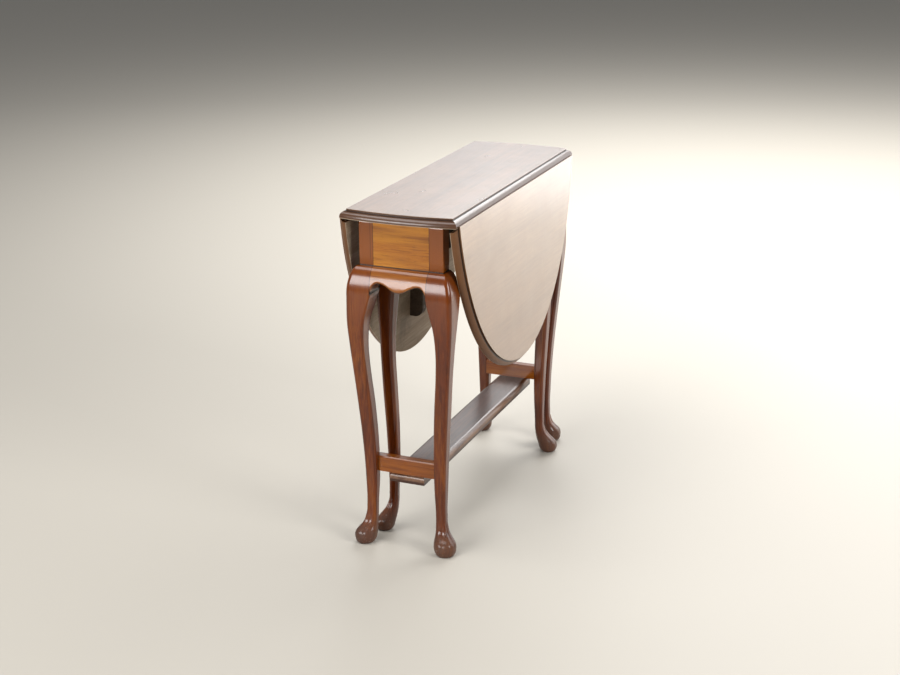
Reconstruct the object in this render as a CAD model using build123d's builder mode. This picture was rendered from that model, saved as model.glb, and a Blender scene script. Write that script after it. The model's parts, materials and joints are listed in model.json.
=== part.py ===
# Oval drop leaf table with cabriole legs and two swinging gate legs. Millimetres.
# +Z is up, +Y runs along the leaf hinges and +X across them; the origin is on the floor at the centre.
# The leaves hang beside the frame and rest on the knees; both gate legs are folded in.
from build123d import *
import os
from math import asin, cos, degrees, radians, sin

os.makedirs("parts", exist_ok=True)

# --- overall sizes ---
table_height = 720
top_length = 736          # long axis of the oval, along the hinges
open_width = 992          # short way over both raised leaves
board_width = 248.8       # centre board, over the rule joint rounds
frame_length = 679        # over the outer faces of the corner posts
frame_width = 180.6

# --- top and edge moulding ---
top_thick = 18
round_r = 11              # the round of the edge, which is also the rule joint
step_h = 4                # upright step above the round
quirk = 0.5               # narrow flat between step and round
cove_gap = 0.35           # leaf cove to board round
step_gap = 0.4            # leaf step to board step
hang_tilt = 1.5           # degrees that the knees hold each hanging leaf out

# --- posts and legs ---
post = 30                 # side of the square corner post
frieze_depth = 96         # from the underside of the top to the knees
knee_drop = 61            # height of the swelling at the head of a knee
knee_out = 23.5           # how far a knee stands out from its post
gate_post = 28
gate_knee_out = 12.4
gate_lift = 0.5           # gate foot above the floor
gate_gap = 0.8            # gate below the underside of the leaf

# --- rails ---
end_rail_thick = 22
side_rail_thick = 15
side_rail_set = 32.3      # inner face of an inner side rail, in from the inner faces of the posts
side_rail_depth = 58
swing_rail_thick = 16
lower_rail_z = 160
lower_rail_depth = 33.5
lower_rail_thick = 18.4
lower_rail_back = 12.5    # set back from the face of the posts
lower_rail_bevel = 2
lower_rail_seat = 3       # how far its shoulder is let into the leg
stretcher_thick = 19.4
stretcher_width = 77.2
stretcher_set = 1         # its ends stand in from the face of the lower rails
stretcher_round = 10      # along the top edges and over the ends
housing = 3
tenon_thick = 8
tenon_long = 15
tenon_shoulder = 14       # from the edge of a rail to its tenon
lower_tenon_shoulder = 4

# --- arches of the aprons, heights down from the top of the knees ---
arch_foot = 54            # at the legs
arch_high = 30
arch_half = 43
drop_corner = 38
drop_half = 20
drop_low = 45
rise_sag = 1.5            # the rise beside the drop, under the crown at its middle
fall_lean = 2             # bulge of the fall to the leg, outward and down
fall_sag = 6

# --- gates ---
gate_spacing = 74.5       # corner post to the gate post folded beside it
left_park = -3.5          # degrees outward from the frame, as each gate stands folded
right_park = 2.7
gate_open = 79            # degrees outward from the frame at which a gate meets its stop
finger_count = 5
finger_gap = 0.3
knuckle_gap = 0.5
pin_r = 2.5
pin_fit = 0.05

# --- leaf stops ---
stop_thick = 20
stop_deep = 30
stop_past = 78            # beyond the face of the gate post
stop_before = 28
stop_play = 0.8
stop_nose = 18            # round of its two ends

# --- hinges, three to a leaf ---
hinge_wide = 38
hinge_at = (-240, 0, 240)
flap_thick = 2
board_flap = 36
leaf_flap = 62
hinge_knuckle_r = 2.8
hinge_pin_r = 1.4
hinge_play = 0.4
recess_gap = 0.1
knuckle_play = 0.2

# --- screws ---
screw_r = 1.7
screw_head_r = 3.3
screw_fit = 0.05
short_screw = 9
block_screw = 27
stretcher_screw = 36
stop_screw = 38
flap_screw_edge = 7       # from the end of a flap to its outer pair of screws
flap_screw_half = 12      # half the distance between that pair
stop_screw_in = 22        # from an end of the block
stretcher_screw_x = 22

# --- blocks under the top ---
block_long = 40
block_side = 16
corner_block = 24
packing_long = 60

# --- places worked out from the sizes ---
underside = table_height - top_thick
axis_z = table_height - step_h - round_r
axis_x = board_width / 2 - round_r
below_axis = axis_z - underside
post_x = frame_width / 2 - post / 2
post_y = frame_length / 2 - post / 2
rail_face = frame_length / 2
knee_top = underside - frieze_depth
knee_z = knee_top - knee_drop
rail_z = underside - side_rail_depth
gate_top = underside - gate_gap
gate_radius = post_y - gate_spacing
rail_back = rail_face - end_rail_thick
rail_end = frame_width / 2 - post
side_rail_in = rail_end - side_rail_set
side_rail_out = side_rail_in + side_rail_thick
end_tenon_y = rail_face - end_rail_thick / 2 - tenon_thick / 2
sides = {"left": -1, "right": 1}
ends = {"near": -1, "far": 1}
park = {"left": left_park, "right": right_park}

# A leg under its knee is a stack of rounded squares: height as a share of the knee's height,
# offset of the centre out along both ways from the post, half the side, and corner radius as a share of that
leg_stack = (
    (0.000, 16.5, 17.5, 0.95),
    (0.030, 14.2, 23.3, 0.95),
    (0.062, 9.8, 18.2, 0.90),
    (0.103, 3.9, 11.6, 0.62),
    (0.154, 2.5, 10.7, 0.58),
    (0.255, 1.6, 12.4, 0.55),
    (0.428, 4.0, 14.2, 0.52),
    (0.574, 9.0, 15.0, 0.50),
    (0.719, 15.4, 15.0, 0.50),
    (0.813, 18.8, 16.0, 0.48),
    (0.908, 18.6, 20.0, 0.45),
)
rail_row = leg_stack[5]   # the row at the height of the lower rails
ankle = leg_stack[3][0]
lower_rail_half = post_x + rail_row[1] - rail_row[2] + lower_rail_seat
knee_tuck = 6.4           # the knee's inner faces stand in from the post's
knee_steps = 5
knee_corner = 0.42        # its corner radius as a share of half its side, low down
top_corner = 0.06         # and where it meets the post
gate_ease = 0.65          # a gate leg bends less towards its knee
gate_slim = 0.88
gate_toe = 5              # the sole of a gate leg stands this much further out, easing off by the ankle


def save(piece, name):
    """Label a finished piece and write it to its own file."""
    piece.part.label = name
    export_step(piece.part, f"parts/{name}.step")


def leaf_plane(side):
    """Plane of a hanging leaf: origin on its hinge axis, x down the leaf, z out through its top face."""
    down = (side * sin(radians(hang_tilt)), 0, -cos(radians(hang_tilt)))
    out = (side * cos(radians(hang_tilt)), 0, sin(radians(hang_tilt)))
    return Plane(origin=(side * axis_x, 0, axis_z), x_dir=down, z_dir=out)


def board_plane(side):
    """Plane of the centre board at one hinge line: x outward, z up, origin on the hinge axis."""
    return Plane(origin=(side * axis_x, 0, axis_z), x_dir=(side, 0, 0), z_dir=(0, 0, 1))


def swing_plane(side, turn):
    """Plane on a gate's pivot at floor level, x along the folded gate, turned outward by some degrees."""
    angle = radians(90 * side - turn)
    return Plane(origin=(side * post_x, 0, 0), x_dir=(cos(angle), sin(angle), 0), z_dir=(0, 0, 1))


def edge_on(plane):
    """The same origin and x seen along the hinge axis, for profiles drawn across a leaf or board."""
    return Plane(origin=plane.origin, x_dir=plane.x_dir, z_dir=-plane.y_dir)


def stack_screws(plane, spots, length, head_r=screw_head_r, shank_r=screw_r):
    """Countersunk screws standing on a plane, their heads flush with it and their shanks along its z."""
    with BuildPart() as screws:
        for spot in spots:
            place = plane.from_local_coords(Vector(*spot))
            axis_line = Plane(origin=place, x_dir=plane.x_dir, z_dir=-plane.y_dir)
            with BuildSketch(axis_line):
                with BuildLine():
                    Polyline(
                        (0, 0),
                        (head_r, 0),
                        (shank_r, head_r - shank_r),
                        (shank_r, length - 2 * shank_r),
                        (0, length),
                        close=True,
                    )
                make_face()
            revolve(axis=Axis(axis_line.origin, plane.z_dir))
    return screws


def drill(plane, spots, length, head_r=screw_head_r, shank_r=screw_r):
    """Cut the holes that take those screws out of the piece being built."""
    add(
        stack_screws(plane, spots, length + screw_fit, head_r + screw_fit, shank_r + screw_fit).part,
        mode=Mode.SUBTRACT,
    )


# --- screw and hinge places ---
pair_y = [y + s * flap_screw_half for y in hinge_at for s in (-1, 1)]
board_flap_spots = [(flap_screw_edge - board_flap, y, -below_axis) for y in pair_y]
board_flap_spots += [(-board_flap / 2, y, -below_axis) for y in hinge_at]
leaf_flap_spots = [(leaf_flap - flap_screw_edge, y, -below_axis) for y in pair_y]
leaf_flap_spots += [(leaf_flap / 2, y, -below_axis) for y in hinge_at]
block_y = (-200, 0, 200)
block_spots = [
    (s * (side_rail_in - block_side / 2), y, underside - block_side) for s in (-1, 1) for y in block_y
]
lower_rail_y = rail_face - lower_rail_back - lower_rail_thick / 2
stretcher_spots = [
    (s * stretcher_screw_x, e * lower_rail_y, lower_rail_z - stretcher_thick)
    for s in (-1, 1)
    for e in (-1, 1)
]

# an opened gate post stands this far out under the leaf and this far short of square; its turned
# section reaches past its centre by gate_turned, and the stop block waits beside it
open_out = post_x - axis_x + gate_radius * sin(radians(gate_open))
open_short = gate_radius * cos(radians(gate_open))
gate_turned = gate_post / 2 * (sin(radians(gate_open)) + cos(radians(gate_open)))
stop_low = open_out + gate_turned + stop_past
stop_high = open_out - gate_turned - stop_before
stop_y = open_short - gate_turned - stop_play - stop_thick / 2
stop_screw_u = (stop_high + stop_screw_in, stop_low - stop_screw_in)
stop_spots = [(u, stop_y, -below_axis - stop_deep) for u in stop_screw_u]


def moulded_oval(plane):
    """The whole oval top with its moulded edge, drawn in a leaf or board plane on the hinge axis."""
    with BuildPart() as whole:
        with BuildSketch(plane.offset(-below_axis)):
            with Locations((-axis_x, 0)):
                Ellipse(open_width / 2, top_length / 2)
        extrude(amount=below_axis + round_r)
        fillet(whole.edges().sort_by(Axis(plane.origin, plane.z_dir))[-1], round_r)
        with BuildSketch(plane.offset(round_r)):
            with Locations((-axis_x, 0)):
                Ellipse(open_width / 2 - round_r - quirk, top_length / 2 - round_r - quirk)
        extrude(amount=step_h)
    return whole.part


def flap_seats(plane, start, stop):
    """The shallow seats of the three hinges, between two distances from the axis."""
    with BuildPart() as seats:
        with BuildSketch(plane.offset(-below_axis)):
            with Locations([((start + stop) / 2, y) for y in hinge_at]):
                Rectangle(stop - start, hinge_wide + 2 * recess_gap)
        extrude(amount=flap_thick + recess_gap)
    return seats.part


# --- centre board ---
# its long edges are the rounds of the rule joints, which carry on under the axis to clear the coves
round_turn = 90 + degrees(asin(below_axis / round_r))
with BuildPart() as top_board:
    with BuildSketch(Plane(origin=(0, 0, axis_z), x_dir=(1, 0, 0), z_dir=(0, -1, 0))):
        with BuildLine():
            top_line = Line((0, round_r + step_h), (axis_x, round_r + step_h))
            Line(top_line @ 1, (axis_x, round_r))
            joint_round = CenterArc((axis_x, 0), round_r, 90, -round_turn)
            Line(joint_round @ 1, (0, -below_axis))
            mirror(about=Plane.YZ)
        make_face()
    extrude(amount=top_length, both=True)
    add(moulded_oval(board_plane(1)), mode=Mode.INTERSECT)
    for side in sides.values():
        seat = board_plane(side)
        add(flap_seats(seat, -board_flap - recess_gap, round_r + 2), mode=Mode.SUBTRACT)
        with BuildSketch(seat.offset(-below_axis)):
            with Locations([(0, y) for y in hinge_at]):
                Rectangle(2 * hinge_knuckle_r + 2 * hinge_play, hinge_wide + 2 * recess_gap)
        extrude(amount=below_axis + hinge_knuckle_r + hinge_play, mode=Mode.SUBTRACT)
        drill(seat, board_flap_spots, short_screw)
    drill(Plane.XY, block_spots, block_screw)
save(top_board, "top_board")


def leaf(side):
    """One leaf: the rest of the oval beyond the hinge line, with the cove of the rule joint."""
    plane = leaf_plane(side)
    with BuildPart() as piece:
        add(moulded_oval(plane))
        with BuildSketch(plane.offset(-below_axis)):
            with Locations((step_gap + open_width / 2, 0)):
                Rectangle(open_width, 2 * top_length)
        extrude(amount=top_thick, mode=Mode.INTERSECT)
        with BuildSketch(edge_on(plane)):
            Circle(round_r + cove_gap)
            with Locations((round_r / 2, -below_axis)):
                Rectangle(round_r + 2 * cove_gap, 2 * below_axis)
        extrude(amount=top_length, both=True, mode=Mode.SUBTRACT)
        add(flap_seats(plane, 0, leaf_flap + recess_gap), mode=Mode.SUBTRACT)
        drill(plane, leaf_flap_spots, short_screw)
        drill(plane, stop_spots, stop_screw)
    return piece


def flap(plane, reach, knuckles):
    """Hinge flaps let into the wood, with the given knuckle spans; reach is negative on the board side."""
    way = 1 if reach > 0 else -1
    inner = way * (hinge_knuckle_r + hinge_play)
    with BuildPart() as piece:
        for y in hinge_at:
            with BuildSketch(plane.offset(-below_axis)):
                with Locations(((inner + reach) / 2, y)):
                    Rectangle(abs(reach - inner), hinge_wide)
            extrude(amount=flap_thick)
            for start, stop in knuckles:
                with BuildSketch(plane.offset(-below_axis)):
                    with Locations((inner / 2, y + (start + stop) / 2)):
                        Rectangle(abs(inner), stop - start)
                extrude(amount=flap_thick)
                barrel = edge_on(plane).offset(-y - stop)
                with BuildSketch(barrel):
                    Circle(hinge_knuckle_r)
                extrude(amount=stop - start)
                with BuildSketch(barrel):
                    Circle(hinge_pin_r + pin_fit)
                extrude(amount=stop - start, mode=Mode.SUBTRACT)
    return piece


knuckle = hinge_wide / 3
for name, side in sides.items():
    leaf_piece = leaf(side)
    save(leaf_piece, f"leaf_{name}")
    hanging = leaf_plane(side)
    seat = board_plane(side)
    beside = knuckle / 2 + knuckle_play
    board_flaps = flap(seat, -board_flap, ((-1.5 * knuckle, -beside), (beside, 1.5 * knuckle)))
    with board_flaps:
        drill(seat, board_flap_spots, short_screw)
    save(board_flaps, f"hinge_board_flaps_{name}")
    leaf_flaps = flap(hanging, leaf_flap, ((-knuckle / 2, knuckle / 2),))
    with leaf_flaps:
        drill(hanging, leaf_flap_spots, short_screw)
    save(leaf_flaps, f"hinge_leaf_flaps_{name}")
    with BuildPart() as hinge_pins:
        for y in hinge_at:
            with BuildSketch(edge_on(seat).offset(-y - hinge_wide / 2)):
                Circle(hinge_pin_r)
            extrude(amount=hinge_wide)
    save(hinge_pins, f"hinge_pins_{name}")
    save(stack_screws(seat, board_flap_spots, short_screw), f"hinge_board_screws_{name}")
    save(stack_screws(hanging, leaf_flap_spots, short_screw), f"hinge_leaf_screws_{name}")
    with BuildPart() as stop_block:
        with BuildSketch(hanging.offset(-below_axis - stop_deep)):
            with Locations(((stop_low + stop_high) / 2, stop_y)):
                Rectangle(stop_low - stop_high, stop_thick)
        extrude(amount=stop_deep)
        inner_edges = stop_block.edges().filter_by(Axis.Y).group_by(Axis(hanging.origin, hanging.z_dir))[0]
        fillet(inner_edges, stop_nose)
        drill(hanging, stop_spots, stop_screw)
    save(stop_block, f"leaf_stop_{name}")
    save(stack_screws(hanging, stop_spots, stop_screw), f"stop_screws_{name}")


def leg_form(plane, centre, ways, side, out, ease, slim, toe):
    """Cabriole leg from its sole to the top of its knee, with its post carried down behind the knee."""
    foot = plane.origin.Z
    with BuildPart() as form:
        for share, offset, half, corner in leg_stack:
            shift = offset * (1 - ease * share) + toe * max(0, 1 - share / ankle)
            with BuildSketch(plane.offset(share * (knee_z - foot))):
                with Locations((centre[0] + ways[0] * shift, centre[1] + ways[1] * shift)):
                    RectangleRounded(2 * half * slim, 2 * half * slim, corner * half * slim)
        for step in range(knee_steps + 1):
            turn = radians(90 * step / knee_steps)
            outer = side / 2 + out * cos(turn)
            inner = side / 2 - knee_tuck * cos(turn)
            shift = (outer - inner) / 2
            half = (outer + inner) / 2
            with BuildSketch(plane.offset(knee_z - foot + knee_drop * sin(turn))):
                with Locations((centre[0] + ways[0] * shift, centre[1] + ways[1] * shift)):
                    RectangleRounded(2 * half, 2 * half, half * (knee_corner * cos(turn) + top_corner))
        loft()
    return form.part


def knuckled_rail(plane, high, far, tenon, fingers):
    """Rail from its wooden knuckles round the pivot to the shoulder at far, with a tenon past it."""
    pitch = (gate_top - rail_z) / finger_count
    near = swing_rail_thick / 2 + knuckle_gap
    with BuildPart() as rail:
        with BuildSketch(plane.offset(rail_z)):
            with Locations(((near + far) / 2, 0)):
                Rectangle(far - near, swing_rail_thick)
        extrude(amount=high - rail_z)
        with BuildSketch(plane.offset(rail_z + tenon_shoulder)):
            with Locations((far + tenon / 2, 0)):
                Rectangle(tenon, tenon_thick)
        extrude(amount=high - rail_z - 2 * tenon_shoulder)
        for finger in fingers:
            with BuildSketch(plane.offset(rail_z + finger * pitch + finger_gap / 2)):
                Circle(swing_rail_thick / 2)
                with Locations((near / 2, 0)):
                    Rectangle(near, swing_rail_thick)
            extrude(amount=pitch - finger_gap)
        with BuildSketch(plane.offset(rail_z)):
            Circle(pin_r + pin_fit)
        extrude(amount=high - rail_z, mode=Mode.SUBTRACT)
    return rail


# --- inner side rails, housed in the end rails ---
side_rails = {}
for name, side in sides.items():
    with BuildPart() as side_rail:
        with BuildSketch(Plane.XY.offset(rail_z)):
            with Locations((side * (side_rail_in + side_rail_thick / 2), 0)):
                Rectangle(side_rail_thick, 2 * (rail_back + housing))
        extrude(amount=side_rail_depth)
    side_rails[name] = side_rail
    save(side_rail, f"side_rail_{name}")

# --- end rails and the swelled aprons under them ---
end_rails = {}
for name, end in ends.items():
    across = Plane(origin=(0, 0, 0), x_dir=(0, end, 0), z_dir=(end, 0, 0))
    with BuildPart() as end_rail:
        with BuildSketch(Plane.XY.offset(knee_top)):
            with Locations((0, end * (rail_face - end_rail_thick / 2))):
                Rectangle(2 * rail_end, end_rail_thick)
        extrude(amount=frieze_depth)
        with BuildSketch(Plane.XY.offset(knee_top + tenon_shoulder)):
            with Locations((0, end * (rail_face - end_rail_thick / 2))):
                Rectangle(2 * (rail_end + tenon_long), tenon_thick)
        extrude(amount=frieze_depth - 2 * tenon_shoulder)
        for side_rail in side_rails.values():
            add(side_rail.part, mode=Mode.SUBTRACT)
    end_rails[name] = end_rail
    save(end_rail, f"end_rail_{name}")

    with BuildPart() as apron:
        with BuildSketch(across):
            with BuildLine():
                centre = (rail_face, knee_z)
                swell = EllipticalCenterArc(centre, knee_out, knee_drop, start_angle=0, arc_size=90)
                Polyline(swell @ 1, (rail_back, knee_top), (rail_back, knee_z), swell @ 0)
            make_face()
        extrude(amount=rail_end, both=True)
        with BuildSketch(Plane.XZ):
            with BuildLine():
                drop = ThreePointArc(
                    (-drop_half, knee_top - drop_corner),
                    (0, knee_top - drop_low),
                    (drop_half, knee_top - drop_corner),
                )
                rise = ThreePointArc(
                    drop @ 1,
                    ((drop_half + arch_half) / 2, knee_top - arch_high - rise_sag),
                    (arch_half, knee_top - arch_high),
                )
                fall = ThreePointArc(
                    rise @ 1,
                    ((arch_half + rail_end) / 2 + fall_lean, knee_top - arch_high - fall_sag),
                    (rail_end, knee_top - arch_foot),
                )
                Polyline(fall @ 1, (rail_end, knee_z - 1), (0, knee_z - 1))
                mirror(fall, about=Plane.YZ)
                mirror(rise, about=Plane.YZ)
                Polyline((-rail_end, knee_top - arch_foot), (-rail_end, knee_z - 1), (0, knee_z - 1))
            make_face()
        extrude(amount=frame_length, both=True, mode=Mode.SUBTRACT)
    save(apron, f"apron_{name}")

# --- knuckle rails, gates and their pins ---
knuckle_rails = []
for name, side in sides.items():
    fixed = Plane(origin=(side * post_x, 0, 0), x_dir=(0, -side, 0), z_dir=(0, 0, 1))
    shoulder = post_y - post / 2
    fixed_fingers = range(0, finger_count, 2)
    knuckle_rail = knuckled_rail(fixed, underside, shoulder, end_tenon_y - shoulder, fixed_fingers)
    knuckle_rails.append(knuckle_rail)
    save(knuckle_rail, f"knuckle_rail_{name}")

    swing = swing_plane(side, park[name])
    shoulder = gate_radius - gate_post / 2
    fly_rail = knuckled_rail(swing, gate_top, shoulder, tenon_long, range(1, finger_count, 2))
    save(fly_rail, f"fly_rail_{name}")

    with BuildPart() as gate_leg:
        foot = swing.offset(gate_lift)
        shape = (gate_post, gate_knee_out, gate_ease, gate_slim, gate_toe)
        add(leg_form(foot, (gate_radius, 0), (1, -1), *shape))
        with BuildSketch(swing.offset(knee_top - arch_foot)):
            with Locations((gate_radius, 0)):
                Rectangle(gate_post, gate_post)
        extrude(amount=gate_top - knee_top + arch_foot)
        add(fly_rail.part, mode=Mode.SUBTRACT)
    save(gate_leg, f"gate_leg_{name}")

    with BuildPart() as gate_pin:
        with BuildSketch(swing.offset(rail_z)):
            Circle(pin_r)
        extrude(amount=gate_top - rail_z)
    save(gate_pin, f"gate_pin_{name}")

    with BuildPart() as packing:
        with BuildSketch(Plane.XY.offset(rail_z)):
            gap = post_x - swing_rail_thick / 2 - side_rail_out
            outer_y = post_y - post / 2 - packing_long
            inner_y = packing_long
            with Locations([(side * (side_rail_out + gap / 2), -side * y) for y in (inner_y, outer_y)]):
                Rectangle(gap, packing_long)
        extrude(amount=side_rail_depth)
    save(packing, f"packing_{name}")

# --- lower rails and the stretcher board screwed up under them ---
lower_rails = {}
for name, end in ends.items():
    with BuildPart() as lower_rail:
        with BuildSketch(Plane.XY.offset(lower_rail_z)):
            with Locations((0, end * lower_rail_y)):
                Rectangle(2 * lower_rail_half, lower_rail_thick)
        extrude(amount=lower_rail_depth)
        top_edges = lower_rail.edges().filter_by(Axis.X).group_by(Axis.Z)[-1].sort_by(Axis.Y)
        chamfer(top_edges[-1 if end > 0 else 0], lower_rail_bevel)
        with BuildSketch(Plane.XY.offset(lower_rail_z + lower_tenon_shoulder)):
            with Locations((0, end * lower_rail_y)):
                Rectangle(2 * (lower_rail_half + tenon_long), tenon_thick)
        extrude(amount=lower_rail_depth - 2 * lower_tenon_shoulder)
        drill(Plane.XY, stretcher_spots, stretcher_screw)
    lower_rails[name] = lower_rail
    save(lower_rail, f"lower_rail_{name}")

with BuildPart() as stretcher_board:
    with BuildSketch(Plane.XY.offset(lower_rail_z - stretcher_thick)):
        Rectangle(stretcher_width, 2 * (rail_face - lower_rail_back - stretcher_set))
    extrude(amount=stretcher_thick)
    fillet(stretcher_board.edges().group_by(Axis.Z)[-1], stretcher_round)
    drill(Plane.XY, stretcher_spots, stretcher_screw)
save(stretcher_board, "stretcher_board")
save(stack_screws(Plane.XY, stretcher_spots, stretcher_screw), "stretcher_screws")

# --- corner legs, mortised for every rail that enters them ---
for end_name, end in ends.items():
    for side_name, side in sides.items():
        with BuildPart() as leg:
            add(leg_form(Plane.XY, (side * post_x, end * post_y), (side, end), post, knee_out, 0, 1, 0))
            with BuildSketch(Plane.XY.offset(knee_top - arch_foot)):
                with Locations((side * post_x, end * post_y)):
                    Rectangle(post, post)
            extrude(amount=underside - knee_top + arch_foot)
            for rail in (end_rails[end_name], lower_rails[end_name], *knuckle_rails):
                add(rail.part, mode=Mode.SUBTRACT)
        save(leg, f"leg_{end_name}_{side_name}")

# --- blocks and screws that hold the frame together and to the top ---
with BuildPart() as corner_blocks:
    for side in sides.values():
        for end in ends.values():
            with BuildSketch(Plane.XY.offset(rail_z + housing)):
                with BuildLine():
                    Polyline(
                        (side * side_rail_in, end * rail_back),
                        (side * (side_rail_in - corner_block), end * rail_back),
                        (side * side_rail_in, end * (rail_back - corner_block)),
                        close=True,
                    )
                make_face()
            extrude(amount=side_rail_depth - housing)
save(corner_blocks, "corner_blocks")

with BuildPart() as top_blocks:
    with BuildSketch(Plane.XY.offset(underside - block_side)):
        with Locations([(x, y) for x, y, z in block_spots]):
            Rectangle(block_side, block_long)
    extrude(amount=block_side)
    drill(Plane.XY, block_spots, block_screw)
save(top_blocks, "top_blocks")
save(stack_screws(Plane.XY, block_spots, block_screw), "top_screws")
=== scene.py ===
import json
from math import cos, pi, radians, sin

import bpy
import numpy as np
from mathutils import Matrix, Vector


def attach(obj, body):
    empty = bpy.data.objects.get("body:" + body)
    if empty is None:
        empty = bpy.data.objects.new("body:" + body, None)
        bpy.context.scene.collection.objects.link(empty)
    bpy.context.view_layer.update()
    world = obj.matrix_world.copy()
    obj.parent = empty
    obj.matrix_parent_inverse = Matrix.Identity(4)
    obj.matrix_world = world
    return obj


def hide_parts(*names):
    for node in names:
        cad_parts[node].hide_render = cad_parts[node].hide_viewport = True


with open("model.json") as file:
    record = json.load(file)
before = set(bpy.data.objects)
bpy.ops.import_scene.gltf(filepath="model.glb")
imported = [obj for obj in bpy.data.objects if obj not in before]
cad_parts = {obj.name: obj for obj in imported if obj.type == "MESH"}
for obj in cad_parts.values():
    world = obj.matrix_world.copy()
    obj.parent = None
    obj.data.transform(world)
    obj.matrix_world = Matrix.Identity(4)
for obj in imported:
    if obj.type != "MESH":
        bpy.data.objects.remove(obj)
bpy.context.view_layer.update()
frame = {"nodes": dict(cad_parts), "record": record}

nodes = frame["nodes"]
print("frame loaded:", len(nodes), "nodes")

# metres, +Y along the leaf hinges, +X across them, floor at z = 0
room = {
    "air": (0.96, 0.98, 1.0),
    "airStrength": 0.27,
    "floorColor": (0.42, 0.39, 0.34),
    "floorHalf": 30.0,
    # name: place, what it faces, width, height, watts
    "lights": {
        "overhead": ((-0.9, -1.1, 3.0), (0, -0.1, 0.5), 2.2, 1.5, 60),
        "frontFill": ((-1.35, -3.3, 1.2), (0, -0.2, 0.5), 1.8, 1.1, 88),
        "backPanel": ((-1.5, 3.9, 2.1), (0, 0, 0.7), 3.4, 1.8, 15),
        "backWash": ((0.5, 3.0, 2.3), (0.5, 2.8, 0), 4.0, 2.2, 210),
        "rightPanel": ((1.3, 2.3, 0.75), (0.1, 0, 0.42), 2.4, 1.4, 24),
        "rightFill": ((3.0, -1.0, 1.7), (0.1, 0, 0.45), 1.4, 1.4, 85),
    },
}
view = {
    "place": (1.2454, -3.1255, 1.4930),
    "yaw": 22.29,       # degrees left of +Y
    "pitch": 18.66,     # degrees down
    "roll": -0.31,
    "lens": 64.42,
    "sensor": 36,
}


# shader helpers
class Val:
    # a socket that can be used in sums: each operator adds one Math node
    def __init__(self, tree, socket):
        self.tree = tree
        self.socket = socket

    def math(self, operation, *others):
        made = self.tree.nodes.new("ShaderNodeMath")
        made.operation = operation
        for slot, value in enumerate((self, *others)):
            plug(self.tree, made.inputs[slot], value)
        return Val(self.tree, made.outputs[0])

    def __add__(self, other):
        return self.math("ADD", other)

    def __sub__(self, other):
        return self.math("SUBTRACT", other)

    def __rsub__(self, other):
        return Val.of(self.tree, other, "SUBTRACT", self)

    def __mul__(self, other):
        return self.math("MULTIPLY", other)

    def __abs__(self):
        return self.math("ABSOLUTE")

    def max(self, other):
        return self.math("MAXIMUM", other)

    def above(self, low, high):
        # smooth 0 to 1 as the value goes from low to high
        made = self.tree.nodes.new("ShaderNodeMapRange")
        made.interpolation_type = "SMOOTHSTEP"
        plug(self.tree, made.inputs["Value"], self)
        made.inputs["From Min"].default_value = low
        made.inputs["From Max"].default_value = high
        return Val(self.tree, made.outputs["Result"])

    @staticmethod
    def of(tree, number, operation, other):
        made = tree.nodes.new("ShaderNodeMath")
        made.operation = operation
        made.inputs[0].default_value = number
        plug(tree, made.inputs[1], other)
        return Val(tree, made.outputs[0])


def plug(tree, socket, value):
    if isinstance(value, Val):
        tree.links.new(value.socket, socket)
    elif isinstance(value, bpy.types.NodeSocket):
        tree.links.new(value, socket)
    elif socket.type == "RGBA":
        socket.default_value = (*value[:3], 1.0)
    else:
        socket.default_value = value


class Finish:
    # one material and its node tree
    def __init__(self, name):
        self.material = bpy.data.materials.new(name)
        self.material.use_nodes = True
        self.tree = self.material.node_tree
        self.shader = self.tree.nodes["Principled BSDF"]
        self.place = self.node("ShaderNodeTexCoord", {}, {}).outputs["Object"]

    def node(self, kind, settings, sockets):
        made = self.tree.nodes.new(kind)
        for name, value in settings.items():
            if name == "stops":
                ramp = made.color_ramp
                while len(ramp.elements) < len(value):
                    ramp.elements.new(0.5)
                for element, (at, color) in zip(ramp.elements, value):
                    element.position = at
                    element.color = (*color, 1.0)
            else:
                setattr(made, name, value)
        for name, value in sockets.items():
            plug(self.tree, made.inputs[name], value)
        return made

    def xyz(self):
        parts = self.node("ShaderNodeSeparateXYZ", {}, {"Vector": self.place})
        return [Val(self.tree, parts.outputs[k]) for k in "XYZ"]

    def stretched(self, scale, turn=(0, 0, 0), shift=(0, 0, 0)):
        made = self.node("ShaderNodeMapping", {}, {"Vector": self.place})
        made.inputs["Location"].default_value = shift
        made.inputs["Rotation"].default_value = turn
        made.inputs["Scale"].default_value = scale
        return made.outputs["Vector"]

    def noise(self, where, scale, detail=3.0, rough=0.55, warp=0.0):
        made = self.node("ShaderNodeTexNoise", {}, {
            "Vector": where, "Scale": scale, "Detail": detail, "Roughness": rough, "Distortion": warp})
        return Val(self.tree, made.outputs["Fac"])

    def mix(self, factor, first, second, blend="MIX"):
        made = self.node("ShaderNodeMix", {"data_type": "RGBA", "blend_type": blend}, {})
        plug(self.tree, made.inputs[0], factor)
        plug(self.tree, made.inputs[6], first)
        plug(self.tree, made.inputs[7], second)
        return made.outputs[2]

    def bump(self, height, strength, distance, under=None):
        made = self.node("ShaderNodeBump", {}, {
            "Height": height, "Strength": strength, "Distance": distance})
        if under is not None:
            plug(self.tree, made.inputs["Normal"], under)
        return made.outputs["Normal"]

    def constants(self, **values):
        for name, value in values.items():
            self.shader.inputs[name.replace("_", " ")].default_value = value


# wood
grainAxes = {"x": (0.09, 1, 1), "y": (1, 0.09, 1), "z": (1, 1, 0.09)}


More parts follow.
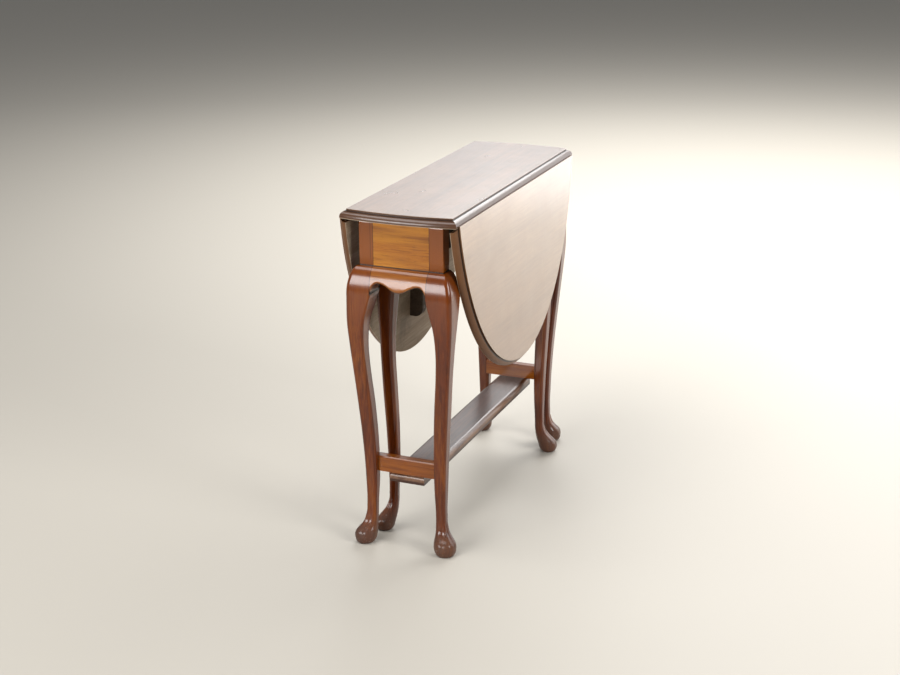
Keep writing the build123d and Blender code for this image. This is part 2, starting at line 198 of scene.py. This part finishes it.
def woodColor(made, look):
    # growth bands + ribbon figure + fibres + pores, all drawn out along the grain
    grain = grainAxes[look["grain"]]
    along = made.stretched(grain, shift=look.get("shift", (0, 0, 0)))
    bands = made.noise(along, look["bandScale"], 3.0, 0.6, 0.35)
    fibre = made.noise(made.stretched(tuple(g ** 1.25 for g in grain)), look["bandScale"] * 17, 4.0, 0.65)
    pores = made.noise(made.stretched(tuple(g ** 1.05 for g in grain)), look["bandScale"] * 42, 2.0, 0.5)
    cloud = made.noise(made.place, 5.5, 2.0, 0.5)
    ramp = made.node("ShaderNodeValToRGB", {"stops": (
        (0.34, look["dark"]), (0.5, look["middle"]), (0.66, look["light"]))},
        {"Fac": bands * 0.6 + fibre * 0.4})
    toned = made.mix(cloud.above(0.35, 0.7) * look["cloud"], ramp.outputs["Color"], look["dark"])
    if look.get("ribbon"):
        # quarter-sawn ribbon: soft stripes across the grain that fade in and out
        stripes = made.noise(made.stretched(look["ribbonScale"]), 26, 2.0, 0.5, 0.5)
        toned = made.mix(stripes.above(0.42, 0.68) * look["ribbon"], toned, look["light"])
    streak = made.noise(made.stretched(tuple(g ** 1.3 for g in grain)), look["bandScale"] * 6, 3.0, 0.6, 0.2)
    toned = made.mix(streak.above(0.53, 0.68) * look["streak"], toned, look["dark"])
    poreMask = pores.above(0.60, 0.72) * fibre.above(0.40, 0.6)
    return made.mix(poreMask * look["pore"], toned, tuple(0.35 * c for c in look["dark"])), fibre, poreMask


def polished(name, look):
    made = Finish(name)
    color, fibre, poreMask = woodColor(made, look)
    smear = made.noise(made.place, 14, 3.0, 0.6)
    scratches = made.noise(made.stretched((9, 60, 9), (0.4, 0.2, 0.9)), 4, 2.0, 0.4)
    rough = smear * look["smear"] + scratches.above(0.66, 0.74) * 0.05 + look["rough"]
    wave = made.noise(made.place, 9, 1.0, 0.4)
    normal = made.bump(wave, 0.15, 0.0012)
    normal = made.bump(fibre - poreMask * 0.6, look["relief"], 0.00025, normal)
    return made, color, rough, normal


def settle(made, color, rough, normal):
    plug(made.tree, made.shader.inputs["Base Color"], color)
    plug(made.tree, made.shader.inputs["Roughness"], rough)
    plug(made.tree, made.shader.inputs["Normal"], normal)
    return made.material


mahogany = {
    "grain": "y", "bandScale": 16, "cloud": 0.30, "pore": 0.45, "streak": 0.55,
    "rough": 0.24, "smear": 0.14, "relief": 0.25,
}
topLook = {
    **mahogany, "bandScale": 11, "cloud": 0.5,
    "dark": (0.100, 0.044, 0.016), "middle": (0.175, 0.082, 0.032), "light": (0.240, 0.118, 0.050),
    # the edge colour is painted shade on the moulded edge; the near-black quirk colour is a painted shadow
    # line
    "edge": (0.040, 0.012, 0.004), "quirk": (0.010, 0.005, 0.003), "streak": 0.35,
    "rough": 0.22, "smear": 0.16, "relief": 0.10, "coatRough": 0.12, "coatIor": 1.6, "edgeDull": 0.75,
}
# the same wood as the top, coloured lighter as a painted reflection of the bright room on the hanging leaf
leafSheenLook = {
    **topLook, "shift": (0.31, 0.77, 0.13), "edge": (0.085, 0.025, 0.002),
    "dark": (0.155, 0.080, 0.036), "middle": (0.205, 0.110, 0.052), "light": (0.255, 0.142, 0.070),
    "streak": 0.1, "pore": 0.2, "rough": 0.30, "coatRough": 0.25, "coatIor": 2.0, "edgeDull": 0.9,
}
legLook = {
    **mahogany, "grain": "z", "bandScale": 24,
    "dark": (0.034, 0.0050, 0.0002), "middle": (0.098, 0.0170, 0.0006), "light": (0.185, 0.0480, 0.0020),
    "post": (0.195, 0.0480, 0.0008), "knee": (0.140, 0.0300, 0.0012), "seam": (0.004, 0.0015, 0.0005),
}
friezeLook = {
    **mahogany, "grain": "x", "bandScale": 26, "ribbon": 0.6, "ribbonScale": (0.12, 1, 1.9), "pore": 0.6,
    "streak": 0.6,
    "dark": (0.130, 0.032, 0.001), "middle": (0.310, 0.100, 0.003), "light": (0.450, 0.175, 0.008),
}
apronLook = {
    **friezeLook, "ribbon": 0.3,
    "dark": (0.080, 0.017, 0.002), "middle": (0.175, 0.047, 0.005), "light": (0.280, 0.095, 0.012),
}
lowerLook = {
    **friezeLook, "ribbon": 0.2,
    "dark": (0.085, 0.016, 0.001), "middle": (0.185, 0.046, 0.002), "light": (0.290, 0.092, 0.006),
}
boardLook = {
    **mahogany, "bandScale": 13,
    "dark": (0.022, 0.006, 0.002), "middle": (0.050, 0.014, 0.004), "light": (0.090, 0.030, 0.010),
    # worn: the pale rubbed-edge colour, which is also a painted highlight on the rounded edges
    "worn": (0.200, 0.105, 0.060), "rough": 0.28, "smear": 0.22,
}
rawLook = {
    **mahogany, "bandScale": 19,
    "dark": (0.030, 0.019, 0.011), "middle": (0.065, 0.042, 0.026), "light": (0.105, 0.073, 0.047),
    "rough": 0.55, "smear": 0.25, "relief": 0.6,
}
undersideLook = {
    **rawLook,
    "dark": (0.200, 0.142, 0.092), "middle": (0.340, 0.260, 0.180), "light": (0.470, 0.380, 0.280),
    "stain": (0.120, 0.092, 0.066), "fleck": (0.56, 0.51, 0.42),
}


def jointLines(made, color, seam):
    # dark glue lines where a rail meets its post, each a hair wide, and one old crack beside the left joint
    x, y, z = made.xyz()
    wobble = (made.noise(made.place, 30, 2.0, 0.5) - 0.5) * 0.0011
    atEnds = abs(y).above(railData["endsFrom"], railData["endsFrom"] + railData["soften"])
    joint = 1 - abs(abs(x) - railData["half"]).above(0.00030, 0.00075)
    high = z.above(railData["seamFrom"], railData["seamFrom"] + railData["soften"])
    crack = 1 - abs(x + wobble + railData["half"] + railData["crack"]).above(0.0002, 0.0006)
    crackReach = z.above(*railData["crackHeight"]) * (1 - y.above(*railData["crackEnd"]))
    bead = 1 - abs(z - railData["bead"]).above(0.0005, 0.0013)
    mask = (joint * high).max(crack * crackReach).max(bead) * atEnds
    return made.mix(mask * 0.95, color, seam)


railData = {
    "half": 0.0603,         # joint between rail and post
    "seamFrom": 0.549,
    "bead": 0.6066,         # height of the line over the knees
    "endsFrom": 0.300,
    "soften": 0.002,
    "crack": 0.0058,        # beside the left joint
    "crackHeight": (0.615, 0.625),
    "crackEnd": (-0.3, -0.2),
}


def frenchPolish(name, look, jointed=False):
    made, color, rough, normal = polished(name, look)
    if jointed:
        color = jointLines(made, color, legLook["seam"])
    made.constants(Coat_Weight=1.0, Coat_Roughness=0.15, Coat_IOR=1.42, IOR=1.4, Specular_IOR_Level=0.1)
    return settle(made, color, rough, normal)


# side: heights under which the board's low vertical side is given painted shade
stretcherData = {"halfWide": 0.0386, "halfLong": 0.326, "side": (0.1445, 0.1485)}


def wornSheenShadeBoard(name, look):
    # rubbed pale along its rounded edges, where feet have rested, made paler there as a painted highlight,
    # with painted shade on the low vertical side
    made, color, rough, normal = polished(name, look)
    x, y, z = made.xyz()
    rub = made.noise(made.stretched((1, 0.25, 1)), 46, 4.0, 0.7)
    alongEdge = (abs(x) - stretcherData["halfWide"]).above(-0.0075, -0.0015)
    edge = alongEdge.max((abs(y) - stretcherData["halfLong"]).above(-0.010, -0.002))
    low = 1 - z.above(*stretcherData["side"])
    worn = edge * (1 - low) * rub.above(0.30, 0.62)
    # wear and painted highlight: the pale rubbed colour also stands in for the bright reflection on the
    # rounded edges
    color = made.mix(worn * 0.75, color, look["worn"])
    # painted shade: the low vertical part of the edge is darkened where it faces away from the light
    color = made.mix(low * 0.55, color, look["dark"])
    made.constants(Coat_Weight=0.8, Coat_Roughness=0.20, Coat_IOR=1.42, IOR=1.4, Specular_IOR_Level=0.2)
    return settle(made, color, rough + worn * 0.15, normal)


def rawWood(name, look):
    made, color, rough, normal = polished(name, look)
    dust = made.noise(made.place, 21, 4.0, 0.65)
    color = made.mix(dust.above(0.5, 0.72) * 0.35, color, (0.16, 0.14, 0.115))
    made.constants(IOR=1.4)
    return settle(made, color, rough, normal)


# heights over the underside
mouldData = {
    "face": (0.0172, 0.0178),       # where the moulding gives way to the show face
    "quirk": 0.0141,
    "quirkWidth": (0.0003, 0.0008),
    "polish": (0.0004, 0.0012),     # where the polish stops, under the moulding
}


def topWood(name, look, side):
    # polished above, with painted shade darkening the moulded edge and a painted shadow line along its
    # quirk, raw and blotchy underneath;
    # side is the height over the underside, 18 mm at the show face
    made, color, rough, normal = polished(name, look)
    level = side(made)
    moulding = 1 - level.above(*mouldData["face"])
    # painted shade: the moulded edge is coloured darker than the show face
    color = made.mix(moulding, color, made.mix(0.2, look["edge"], color))
    # painted shadow: a near-black line where the moulding's quirk lies in shade
    quirk = 1 - abs(level - mouldData["quirk"]).above(*mouldData["quirkWidth"])
    color = made.mix(quirk * 0.9, color, look["quirk"])
    bare = woodColor(made, {**undersideLook, "shift": (0.5, 0.1, 0.8)})[0]
    stain = made.noise(made.place, 7, 4.0, 0.7)
    bare = made.mix(stain.above(0.45, 0.66) * 0.6, bare, undersideLook["stain"])
    flecks = made.noise(made.place, 85, 2.0, 0.6)
    bare = made.mix(flecks.above(0.66, 0.74) * 0.35, bare, undersideLook["fleck"])
    polish = level.above(*mouldData["polish"])
    color = made.mix(polish, bare, color)
    rough = polish * rough + (1 - polish) * 0.62
    made.constants(
        Coat_Roughness=look["coatRough"], Coat_IOR=look["coatIor"], IOR=1.45, Specular_IOR_Level=0.35)
    plug(made.tree, made.shader.inputs["Coat Weight"], polish * (1 - moulding * look["edgeDull"]))
    return settle(made, color, rough, normal)


leafData = {"tilt": 1.5, "axisX": 0.1134, "axisZ": 0.705, "belowAxis": 0.003}


def overBoard(made):
    x, y, z = made.xyz()
    return z - (leafData["axisZ"] - leafData["belowAxis"])


def overLeaf(made):
    # height along the outward normal of the hanging leaf, the same for both leaves by |x|
    x, y, z = made.xyz()
    tilt = radians(leafData["tilt"])
    level = leafData["axisX"] * cos(tilt) + leafData["axisZ"] * sin(tilt) - leafData["belowAxis"]
    return abs(x) * cos(tilt) + z * sin(tilt) - level


legTones = {"knee": (0.45, 0.59), "post": (0.6055, 0.6075), "footTop": 0.070, "footFade": (0.0, 0.045)}


def legWood(name, look):
    # redder, lighter post and knee over a dark leg, and a greyed, rubbed foot
    made, color, rough, normal = polished(name, look)
    x, y, z = made.xyz()
    color = made.mix(z.above(*legTones["knee"]) * 0.55, color, look["knee"])
    color = made.mix(z.above(*legTones["post"]) * 0.72, color, look["post"])
    color = jointLines(made, color, look["seam"])
    scuff = made.noise(made.place, 60, 4.0, 0.7)
    specks = made.noise(made.place, 210, 3.0, 0.6)
    worn = (legTones["footTop"] - z).above(*legTones["footFade"]) * (scuff * 0.7 + 0.5)
    color = made.mix(worn * 0.7, color, (0.075, 0.050, 0.038))
    color = made.mix(worn * specks.above(0.60, 0.72) * 0.35, color, (0.24, 0.20, 0.17))
    rough = rough + worn * 0.12
    made.constants(Coat_Roughness=0.15, Coat_IOR=1.42, IOR=1.4, Specular_IOR_Level=0.1)
    plug(made.tree, made.shader.inputs["Coat Weight"], 1 - worn * 0.6)
    return settle(made, color, rough, normal)


def metal(name, bright, dark, rough):
    made = Finish(name)
    tarnish = made.noise(made.place, 130, 4.0, 0.65)
    color = made.mix(tarnish.above(0.35, 0.7), bright, dark)
    grit = made.noise(made.place, 900, 2.0, 0.5)
    made.constants(Metallic=1.0)
    return settle(made, color, tarnish * 0.3 + rough, made.bump(grit, 0.3, 0.0001))


finishes = {
    "top": topWood("topPolish", topLook, overBoard),
    "leaf": topWood("leafPolishAndSheen", leafSheenLook, overLeaf),
    "leg": legWood("legPolish", legLook),
    "frieze": frenchPolish("friezePolish", friezeLook, jointed=True),
    "apron": frenchPolish("apronPolish", apronLook, jointed=True),
    "lower_rail": frenchPolish("lowerRailPolish", lowerLook),
    "stretcher": wornSheenShadeBoard("stretcherPolish", boardLook),
    "frame_wood": rawWood("bareFrameWood", rawLook),
    "brass": metal("agedBrass", (0.45, 0.31, 0.12), (0.13, 0.09, 0.045), 0.32),
    "steel": metal("darkSteel", (0.24, 0.22, 0.20), (0.06, 0.045, 0.035), 0.38),
}
print("finishes made:", len(finishes))


# surfaces
def gridPiece(name, rows, flip=False):
    # rows is (height, around, 3): a closed tube with a fan of faces over each end
    count, around = rows.shape[:2]
    points = np.vstack([rows.reshape(-1, 3), rows[0].mean(0), rows[-1].mean(0)])
    i, j = np.meshgrid(np.arange(count - 1), np.arange(around), indexing="ij")
    k = (j + 1) % around
    quads = np.stack([i * around + j, i * around + k, (i + 1) * around + k, (i + 1) * around + j], -1)
    quads = quads.reshape(-1, 4)
    ring = np.arange(around)
    after = (ring + 1) % around
    last = (count - 1) * around
    bottom = np.stack([after, ring, np.full(around, count * around)], -1)
    top = np.stack([last + ring, last + after, np.full(around, count * around + 1)], -1)
    faces = [*quads.tolist(), *bottom.tolist(), *top.tolist()]
    if flip:
        faces = [face[::-1] for face in faces]
    mesh = bpy.data.meshes.new(name)
    mesh.from_pydata(points.tolist(), [], faces)
    mesh.polygons.foreach_set("use_smooth", np.ones(len(faces), bool))
    mesh.update()
    piece = bpy.data.objects.new(name, mesh)
    bpy.context.scene.collection.objects.link(piece)
    return piece


def smoothThrough(at, stations, values):
    # cubic Hermite curve through the stations, slopes from the neighbours on each side
    x = np.asarray(stations, float)
    v = np.asarray(values, float)
    slope = np.gradient(v, x)
    k = np.clip(np.searchsorted(x, at) - 1, 0, len(x) - 2)
    wide = x[k + 1] - x[k]
    t = np.clip((at - x[k]) / wide, 0, 1)
    a = (2 * t ** 3 - 3 * t ** 2 + 1) * v[k] + (t ** 3 - 2 * t ** 2 + t) * wide * slope[k]
    b = (-2 * t ** 3 + 3 * t ** 2) * v[k + 1] + (t ** 3 - t ** 2) * wide * slope[k + 1]
    return a + b


cornerData = {"arcPoints": 8, "guard": 0.06}


def roundedBox(low, high, radii):
    # section of each row: a square from (low, low) to (high, high) whose four corners have their own radii.
    # corner k: centre + r (cos a, sin a), a from 90k to 90k + 90 degrees, with guard points along each side
    arc = np.linspace(0, pi / 2, cornerData["arcPoints"])
    guard = cornerData["guard"]
    signs = ((1, 1), (-1, 1), (-1, -1), (1, -1))
    ring = []
    for k, (sx, sy) in enumerate(signs):
        r = radii[k][:, None]
        cx = (high if sx > 0 else low)[:, None] - sx * r
        cy = (high if sy > 0 else low)[:, None] - sy * r
        turn = arc[None, :] + k * pi / 2
        ring.append(np.stack([cx + r * np.cos(turn), cy + r * np.sin(turn)], -1))
    woven = []
    for k in range(4):
        start = ring[k][:, -1:]
        end = ring[(k + 1) % 4][:, :1]
        woven += [ring[k]] + [start + (end - start) * f for f in (guard, 0.5, 1 - guard)]
    return np.concatenate(woven, 1)


legData = {
    # height, outer face and inner face from the post's centre, corner radius as a share of half the side
    "shape": (
        (0.000, 0.0320, -0.0005, 0.97),
        (0.003, 0.0348, -0.0038, 0.97),
        (0.008, 0.0368, -0.0070, 0.97),
        (0.015, 0.0376, -0.0090, 0.97),
        (0.022, 0.0368, -0.0096, 0.97),
        (0.029, 0.0336, -0.0094, 0.95),
        (0.037, 0.0262, -0.0088, 0.90),
        (0.046, 0.0196, -0.0083, 0.80),
        (0.060, 0.0152, -0.0080, 0.66),
        (0.084, 0.0134, -0.0082, 0.58),
        (0.139, 0.0140, -0.0108, 0.52),
        (0.233, 0.0182, -0.0102, 0.48),
        (0.313, 0.0240, -0.0060, 0.46),
        (0.392, 0.0304, 0.0004, 0.44),
        (0.443, 0.0348, 0.0026, 0.42),
        (0.495, 0.0384, -0.0014, 0.40),
        (0.524, 0.0386, -0.0090, 0.38),
        (0.545, 0.0385, -0.0142, 0.36),
    ),
    "post": 0.015,
    "kneeTop": 0.606,
    "kneeDrop": 0.061,
    "kneeOut": 0.0235,
    "top": 0.702,
    "arris": 0.0009,
    "seam": 0.0004,
    "hairline": 0.0006,
    "edge": 0.0034,          # inner arris where it leaves the apron
    "edgeFrom": 0.40,        # height at which that arris starts to sharpen
    "archFoot": 0.552,
    "rows": ((0.009, 8), (0.09, 44), (0.50, 56), (0.552, 20)),    # up to each height, how many rows
    "lip": 0.006,            # closer rows over the top of the knee
    "seamStep": 0.0003,
    "hairAt": 0.0006,        # height and width of the fine line over the knee
    "hairWide": 0.0005,
    "blend": 0.008,          # height over which the inner face goes back to the post
    "kneeArris": 0.0092,     # outer arris at the foot of the knee
}
tongueData = {
    "low": 0.010,
    "high": 0.074,
    "rise": 0.0030,
    "groove": 0.0016,
    "width": 0.34,        # radians at the toe, narrower with height
}


def tongue(rows, z, centre):
    # teardrop ridge over the toe: radius grows by rise exp(-(a/w)^4) - groove exp(-((a-1.9w)/(0.7w))^2),
    # a the angle either way from the toe's direction, and fades in and out with height
    t = np.clip((z - tongueData["low"]) / (tongueData["high"] - tongueData["low"]), 0, 1)
    swell = np.sin(pi * t) ** 0.8 * (1 - 0.45 * t)
    arm = rows[..., :2] - centre[:, None, :]
    a = np.abs(np.arctan2(arm[..., 1], arm[..., 0]) - pi / 4)
    w = (tongueData["width"] * (1.15 - 0.75 * t))[:, None]
    ridge = tongueData["rise"] * np.exp(-(a / w) ** 4)
    grow = ridge - tongueData["groove"] * np.exp(-((a - 1.9 * w) / (0.7 * w)) ** 2)
    reach = np.linalg.norm(arm, axis=-1, keepdims=True)
    return rows[..., :2] + arm / reach * (grow * swell[:, None])[..., None]


def legRows(data):
    # cabriole leg: (outer, inner) faces over height, then the knee as a quarter ellipse up to the post
    spans = []
    low = 0
    for high, count in data["rows"]:
        spans.append(np.linspace(low, high, count, endpoint=False))
        low = high
    lipZ = data["kneeTop"] - data["lip"]
    z = np.concatenate([
        *spans,
        data["archFoot"] + np.array([0, data["seamStep"]]),
        np.linspace(data["archFoot"] + 0.002, lipZ, 24, endpoint=False),
        data["kneeTop"] - data["lip"] * np.linspace(1, 0, 14) ** 2,
        data["kneeTop"] + np.array([data["hairAt"], 2 * data["hairAt"], 0.02]),
        [data["top"] - 0.01, data["top"]],
    ])
    stations = [row[0] for row in data["shape"]]
    outer = smoothThrough(z, stations, [row[1] for row in data["shape"]])
    inner = smoothThrough(z, stations, [row[2] for row in data["shape"]])
    share = smoothThrough(z, stations, [row[3] for row in data["shape"]])
    kneeZ = data["kneeTop"] - data["kneeDrop"]
    up = np.clip((z - kneeZ) / data["kneeDrop"], 0, 1)
    inKnee = z > kneeZ
    outer = np.where(inKnee, data["post"] + data["kneeOut"] * np.sqrt(1 - up ** 2), outer)
    settleIn = np.clip((z - kneeZ) / data["blend"], 0, 1)
    inner = np.where(inKnee, (1 - settleIn) * data["shape"][-1][2] - settleIn * data["post"], inner)
    overKnee = z - data["kneeTop"] - data["hairAt"]
    outer = outer - data["hairline"] * np.exp(-(overKnee / data["hairWide"]) ** 2)
    half = (outer - inner) / 2
    kneeRound = data["arris"] + (data["kneeArris"] - data["arris"]) * (1 - up ** 6)
    toeRound = np.where(inKnee, kneeRound, share * half)
    sharpen = np.clip((z - data["edgeFrom"]) / (kneeZ - data["edgeFrom"]), 0, 1)
    sideRound = share * half * (1 - sharpen) + data["edge"] * sharpen
    sideRound = np.where(z > data["archFoot"], data["seam"], sideRound)
    section = roundedBox(inner, outer, (toeRound, sideRound, sideRound, sideRound))
    centre = np.stack([(inner + outer) / 2] * 2, -1)
    section = tongue(section, z, centre)
    high = np.broadcast_to(z[:, None, None], section.shape[:2] + (1,))
    return np.concatenate([section, high], -1)


def placeLeg(rows, origin, alongP, alongQ):
    # P = origin + p alongP + q alongQ + z up
    p, q, z = rows[..., 0:1], rows[..., 1:2], rows[..., 2:3]
    return (np.array((*origin, 0.0)) + p * np.array((*alongP, 0.0)) + q * np.array((*alongQ, 0.0))
            + z * np.array((0.0, 0.0, 1.0)))


frameData = {"postX": 0.0753, "postY": 0.3245, "gateRadius": 0.250, "park": {"left": -3.5, "right": 2.7}}
sides = {"left": -1, "right": 1}
ends = {"near": -1, "far": 1}


def dress(piece, body, slotName, *replaced):
    piece.data.materials.append(finishes[slotName])
    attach(piece, body)
    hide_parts(*replaced)


cornerRows = legRows(legData)
for endName, end in ends.items():
    for sideName, side in sides.items():
        origin = (side * frameData["postX"], end * frameData["postY"])
        placed = placeLeg(cornerRows, origin, (side, 0), (0, end))
        piece = gridPiece(f"cabriole_{endName}_{sideName}", placed, flip=side * end < 0)
        dress(piece, "frame", "leg", f"leg_{endName}_{sideName}")
print("corner legs made")

gateData = {
    **legData,
    "shape": (
        (0.0005, 0.0335, 0.0050, 0.97),
        (0.003, 0.0362, 0.0022, 0.96),
        (0.008, 0.0386, -0.0008, 0.94),
        (0.016, 0.0392, -0.0028, 0.93),
        (0.025, 0.0362, -0.0048, 0.93),
        (0.036, 0.0276, -0.0062, 0.90),
        (0.048, 0.0190, -0.0068, 0.80),
        (0.062, 0.0134, -0.0072, 0.66),
        (0.084, 0.0120, -0.0074, 0.58),
        (0.139, 0.0124, -0.0094, 0.52),
        (0.233, 0.0153, -0.0096, 0.48),
        (0.313, 0.0190, -0.0075, 0.46),
        (0.392, 0.0218, -0.0050, 0.44),
        (0.443, 0.0232, -0.0055, 0.42),
        (0.495, 0.0255, -0.0090, 0.40),
        (0.524, 0.0262, -0.0115, 0.38),
        (0.545, 0.0263, -0.0134, 0.36),
    ),
    "post": 0.014,
    "kneeOut": 0.0123,
    "top": 0.7012,
    "lift": 0.0005,          # sole above the floor
}
gateRows = legRows(gateData)
gateRows[..., 2] = np.maximum(gateRows[..., 2], gateData["lift"])
for sideName, side in sides.items():
    turn = radians(90 * side - frameData["park"][sideName])
    along = np.array((cos(turn), sin(turn)))
    outward = np.array((sin(turn), -cos(turn)))
    origin = np.array((side * frameData["postX"], 0)) + frameData["gateRadius"] * along
    piece = gridPiece(f"gate_cabriole_{sideName}", placeLeg(gateRows, origin, along, outward), flip=True)
    dress(piece, f"{sideName}_gate", "leg", f"gate_leg_{sideName}")
print("gate legs made")

apronData = {
    "half": 0.0603, "back": 0.3175, "face": 0.3395,
    "foot": 0.054, "arch": 0.030, "archHalf": 0.043, "corner": 0.038, "cornerHalf": 0.020, "drop": 0.045,
    "softEdge": 0.0035, "inset": 0.001,
}


def archEdge(data, t):
    # lower edge of the apron, t from -1 to 1: a shallow drop, a rise to each arch,
    # a quarter ellipse down to the leg
    x = data["half"] * t
    a = np.abs(x)
    middle = -data["drop"] + (data["drop"] - data["corner"]) * (a / data["cornerHalf"]) ** 2
    rise = np.clip((a - data["cornerHalf"]) / (data["archHalf"] - data["cornerHalf"]), 0, 1)
    arch = -data["corner"] + (data["corner"] - data["arch"]) * np.sin(rise * pi / 2)
    fall = np.clip((a - data["archHalf"]) / (data["half"] - data["archHalf"]), 0, 1)
    leg = -data["foot"] + (data["foot"] - data["arch"]) * np.sqrt(1 - fall ** 2)
    return x, np.where(a < data["cornerHalf"], middle, np.where(a < data["archHalf"], arch, leg))


def apronRows(data):
    # profile at each x: down the swelled front, round its lower edge, up the back, over the top
    t = np.sin(np.linspace(-pi / 2, pi / 2, 121))
    x, low = archEdge(data, t)
    top = legData["kneeTop"]
    s = np.linspace(0, 1, 22) ** 1.6
    z = top + (low[:, None] + data["softEdge"]) * s[None, :]
    up = np.clip((z - top + legData["kneeDrop"]) / legData["kneeDrop"], 0, 1)
    y = data["face"] + legData["kneeOut"] * np.sqrt(1 - up ** 2)
    turn = np.linspace(0, pi / 2, 6)[1:]
    lastZ, lastY = z[:, -1:], y[:, -1:]
    edgeZ = lastZ - data["softEdge"] * np.sin(turn)
    edgeY = lastY - data["softEdge"] * (1 - np.cos(turn))
    inset = data["inset"]
    back = np.full_like(x, data["back"])
    backY = np.stack([back + inset, back, back, back], 1)
    backZ = np.stack([top + low, top + low + inset, np.full_like(x, top - inset), np.full_like(x, top)], 1)
    allY = np.concatenate([y, edgeY, backY, (back + inset)[:, None]], 1)
    allZ = np.concatenate([z, edgeZ, backZ, np.full((len(x), 1), top)], 1)
    allX = np.broadcast_to(x[:, None], allY.shape)
    return np.stack([allX, allY, allZ], -1)


for endName, end in ends.items():
    rows = apronRows(apronData) * np.array((1.0, end, 1.0))
    piece = gridPiece(f"swelled_apron_{endName}", rows, flip=end < 0)
    dress(piece, "frame", "apron", f"apron_{endName}")
print("aprons made")

# the pieces that keep their worked shape
slotOf = {part["node"]: part["material_slot"] for part in frame["record"]["subparts"]}
for name, piece in nodes.items():
    piece.data.materials.clear()
    piece.data.materials.append(finishes[slotOf[name]])
print("finishes laid on", len(nodes), "nodes")

# floor, light and camera
floorMesh = bpy.data.meshes.new("paleFloor")
reach = room["floorHalf"]
corners = [(-reach, -reach, 0), (reach, -reach, 0), (reach, reach, 0), (-reach, reach, 0)]
floorMesh.from_pydata(corners, [], [(0, 1, 2, 3)])
floor = bpy.data.objects.new("pale_floor", floorMesh)
bpy.context.scene.collection.objects.link(floor)
floorFinish = Finish("paleFloorPaint")
floorFinish.constants(Base_Color=(*room["floorColor"], 1.0), Roughness=0.6)
floorMesh.materials.append(floorFinish.material)

world = bpy.data.worlds.new("paleRoom")
bpy.context.scene.world = world
world.use_nodes = True
sky = world.node_tree.nodes["Background"]
sky.inputs["Color"].default_value = (*room["air"], 1.0)
sky.inputs["Strength"].default_value = room["airStrength"]

for name, (place, target, width, height, watts) in room["lights"].items():
    lamp = bpy.data.lights.new(name, "AREA")
    lamp.shape = "RECTANGLE"
    lamp.size = width
    lamp.size_y = height
    lamp.energy = watts
    holder = bpy.data.objects.new(name, lamp)
    aim = Vector(target) - Vector(place)
    holder.matrix_world = Matrix.Translation(place) @ aim.to_track_quat("-Z", "Y").to_matrix().to_4x4()
    holder.visible_camera = False
    bpy.context.scene.collection.objects.link(holder)

yaw, pitch, roll = (radians(view[key]) for key in ("yaw", "pitch", "roll"))
ahead = Vector((-sin(yaw) * cos(pitch), cos(yaw) * cos(pitch), -sin(pitch)))
level = ahead.cross(Vector((0, 0, 1))).normalized()
upright = level.cross(ahead)
across = level * cos(roll) + upright * sin(roll)
upward = upright * cos(roll) - level * sin(roll)
cameraData = bpy.data.cameras.new("studioCamera")
cameraData.lens = view["lens"]
cameraData.sensor_width = view["sensor"]
camera = bpy.data.objects.new("studioCamera", cameraData)
turned = Matrix((across, upward, -ahead)).transposed().to_4x4()
camera.matrix_world = Matrix.Translation(view["place"]) @ turned
bpy.context.scene.collection.objects.link(camera)
bpy.context.scene.camera = camera
bpy.context.scene.view_settings.view_transform = "Standard"
print("stage set")
